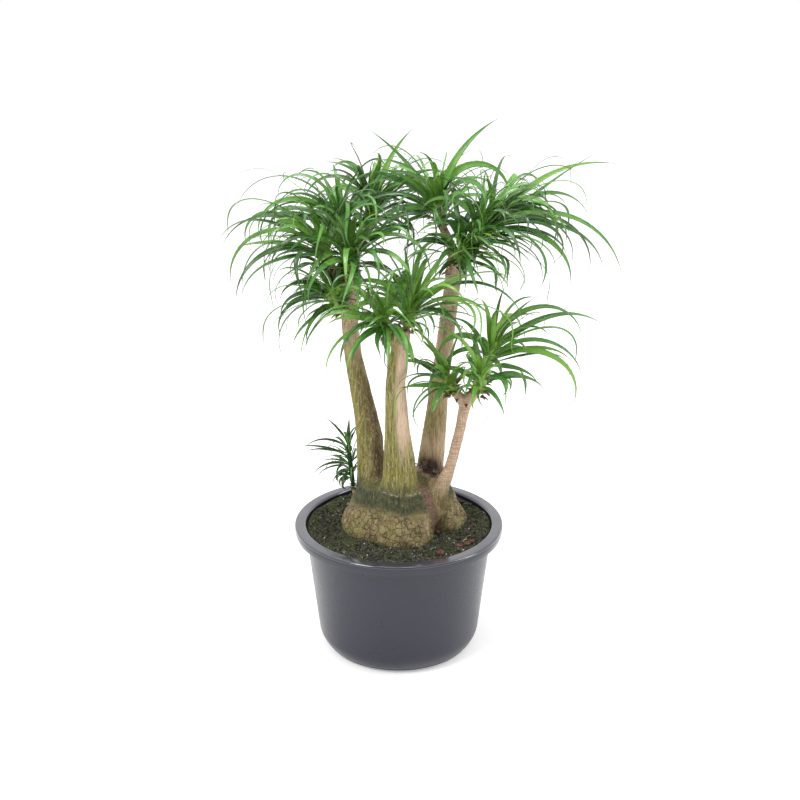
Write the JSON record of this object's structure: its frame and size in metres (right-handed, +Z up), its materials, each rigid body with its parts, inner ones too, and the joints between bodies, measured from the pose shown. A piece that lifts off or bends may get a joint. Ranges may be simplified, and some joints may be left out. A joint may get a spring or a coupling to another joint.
{
  "type": "potted ponytail palm",
  "caption": "Ponytail palm with several stems rising from one swollen cracked base, with arching strap leaves, in a round plastic pot.",
  "frame": {"origin": "on the floor, under the middle of the pot", "axes": "+Z up, -Y towards the front that the picture shows"},
  "size_m": [0.7445, 0.4738, 1.0226],
  "materials": {
    "pot_plastic": "satin anthracite nursery plastic",
    "soil": "damp dark potting soil with moss and white grit",
    "bark": "dry bark: cracked tan plates on the swollen base, olive and pinkish stems above",
    "leaves": "leathery green strap leaves, glossy, brown at the tips",
    "lava_stone": "rough porous red-brown stone"
  },
  "bodies": {
    "root": {"pot": "pot_plastic", "soil": "soil", "stems": "bark", "left_outer": "leaves", "left_upper": "leaves", "left_front": "leaves", "left_lower": "leaves", "top_back": "leaves", "top_middle": "leaves", "right_inner": "leaves", "right_outer": "leaves", "right_front": "leaves", "middle_upper": "leaves", "middle_front": "leaves", "front_left": "leaves", "front_middle": "leaves", "front_right": "leaves", "young_shoot": "leaves", "stone_1": "lava_stone", "stone_2": "lava_stone", "stone_3": "lava_stone", "stone_4": "lava_stone", "stone_5": "lava_stone"}
  },
  "joints": []
}
